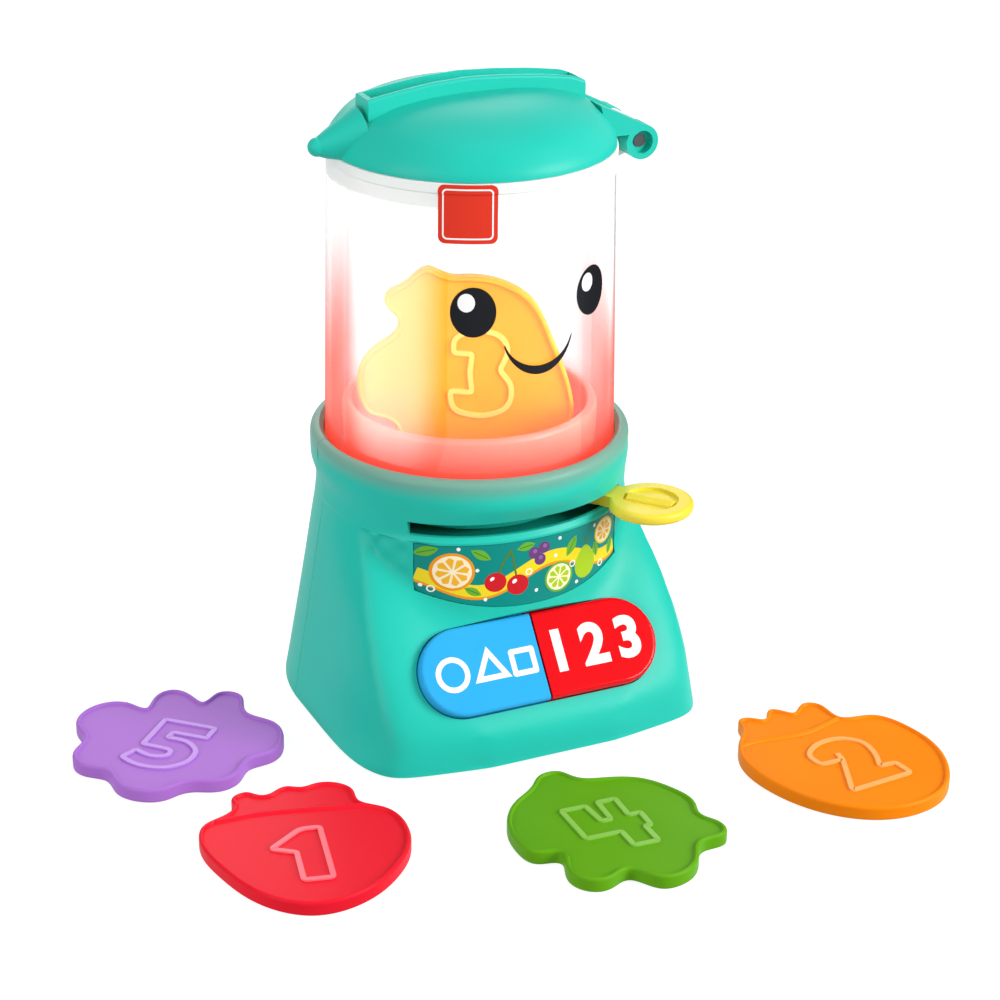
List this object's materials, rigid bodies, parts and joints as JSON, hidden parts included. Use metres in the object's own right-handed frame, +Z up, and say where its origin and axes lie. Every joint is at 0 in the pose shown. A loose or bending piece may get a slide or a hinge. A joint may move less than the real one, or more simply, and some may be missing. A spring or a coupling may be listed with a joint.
{
  "type": "toy blender",
  "caption": "Toddler's play blender: clear jar with a slotted hinged lid, turning dish, geared side lever, two push buttons and number counters.",
  "frame": {"origin": "on the jar's axis, in the plane of the underside that the toy stands on", "axes": "+Z up along the jar's axis, -Y out of the button deck to the front, +X to the lid hinge"},
  "size_m": [0.319, 0.267, 0.2589],
  "materials": {
    "teal_shell": "satin",
    "printed_label": "printed film",
    "teal_base": "satin",
    "screw_steel": "zinc plated",
    "cell_wrap": "foil wrap",
    "contact_steel": "nickel plated",
    "black_plastic": "matt",
    "pad_silicone": "matt",
    "board_green": "solder mask",
    "speaker_frame": "paper cone in a steel frame",
    "inner_white": "matt",
    "clear_jar": "clear, polished",
    "pin_dark": "plain",
    "board_white": "solder mask",
    "milky_red": "milky, light-passing",
    "yellow_lever": "satin",
    "gear_nylon": "natural nylon",
    "blue_cap": "gloss",
    "red_cap": "gloss",
    "piece_red": "satin",
    "piece_orange": "satin",
    "piece_yellow": "satin",
    "piece_green": "satin",
    "piece_purple": "satin"
  },
  "bodies": {
    "base": {"front_shell": "teal_shell", "rear_shell": "teal_shell", "face_panel": "printed_label", "base_plate": "teal_base", "battery_door": "teal_base", "battery_door_screw": "screw_steel", "housing_screws": "screw_steel", "batteries": "cell_wrap", "battery_contacts": "contact_steel", "switch_body": "black_plastic", "button_pads": "pad_silicone", "circuit_board": "board_green", "speaker": "speaker_frame", "speaker_clamp": "inner_white", "jar": "clear_jar", "hinge_pin": "pin_dark", "jar_shelf": "inner_white", "light_board": "board_white", "light_diffuser": "milky_red", "gear_cover": "inner_white", "cover_screws": "screw_steel", "idler_axle": "pin_dark"},
    "lid": {"lid": "teal_shell"},
    "lever": {"lever": "yellow_lever", "lever_ring": "gear_nylon"},
    "idler": {"idler_gear": "gear_nylon"},
    "dish": {"dish": "milky_red", "dish_spindle": "inner_white", "sun_gear": "gear_nylon"},
    "blue_button": {"blue_button": "blue_cap"},
    "red_button": {"red_button": "red_cap"},
    "switch": {"switch_knob": "black_plastic"},
    "counter_3": {"counter_3": "piece_yellow"},
    "counter_1": {"counter_1": "piece_red"},
    "counter_2": {"counter_2": "piece_orange"},
    "counter_4": {"counter_4": "piece_green"},
    "counter_5": {"counter_5": "piece_purple"}
  },
  "joints": [
    {"name": "lid_hinge", "type": "hinge", "parent": "base", "child": "lid", "pos_m": [0.0657, 0, 0.2287], "axis": [0, 1, 0], "range_deg": [0, 105]},
    {"name": "lever_sweep", "type": "hinge", "parent": "base", "child": "lever", "pos_m": [0, 0, 0.088], "axis": [0, 0, 1], "range_deg": [-80.4, 0]},
    {"name": "idler_spin", "type": "hinge", "parent": "base", "child": "idler", "pos_m": [0, 0.024, 0.088], "axis": [0, 0, 1], "range_deg": [-241.5, 0]},
    {"name": "dish_spin", "type": "hinge", "parent": "base", "child": "dish", "pos_m": [0, 0, 0.1], "axis": [0, 0, 1], "range_deg": [0, 241.5]},
    {"name": "blue_press", "type": "slide", "parent": "base", "child": "blue_button", "axis": [0, 0.7815, -0.6239], "range_m": [0, 0.0025], "stiffness_N_per_m": 500, "springref_m": -0.003},
    {"name": "red_press", "type": "slide", "parent": "base", "child": "red_button", "axis": [0, 0.7815, -0.6239], "range_m": [0, 0.0025], "stiffness_N_per_m": 500, "springref_m": -0.003},
    {"name": "switch_slide", "type": "slide", "parent": "base", "child": "switch", "axis": [0, 1, 0], "range_m": [0, 0.005]},
    {"name": "counter_3_lift", "type": "slide", "parent": "dish", "child": "counter_3", "axis": [0, 0, 1], "range_m": [0, 0.03]},
    {"name": "counter_1_lift", "type": "slide", "parent": "base", "child": "counter_1", "axis": [0, 0, 1], "range_m": [0, 0.1]},
    {"name": "counter_2_lift", "type": "slide", "parent": "base", "child": "counter_2", "axis": [0, 0, 1], "range_m": [0, 0.1]},
    {"name": "counter_4_lift", "type": "slide", "parent": "base", "child": "counter_4", "axis": [0, 0, 1], "range_m": [0, 0.1]},
    {"name": "counter_5_lift", "type": "slide", "parent": "base", "child": "counter_5", "axis": [0, 0, 1], "range_m": [0, 0.1]}
  ],
  "couplings": [
    {"joint": "idler_spin", "follows": "lever_sweep", "ratio": 3},
    {"joint": "dish_spin", "follows": "lever_sweep", "ratio": -3}
  ]
}
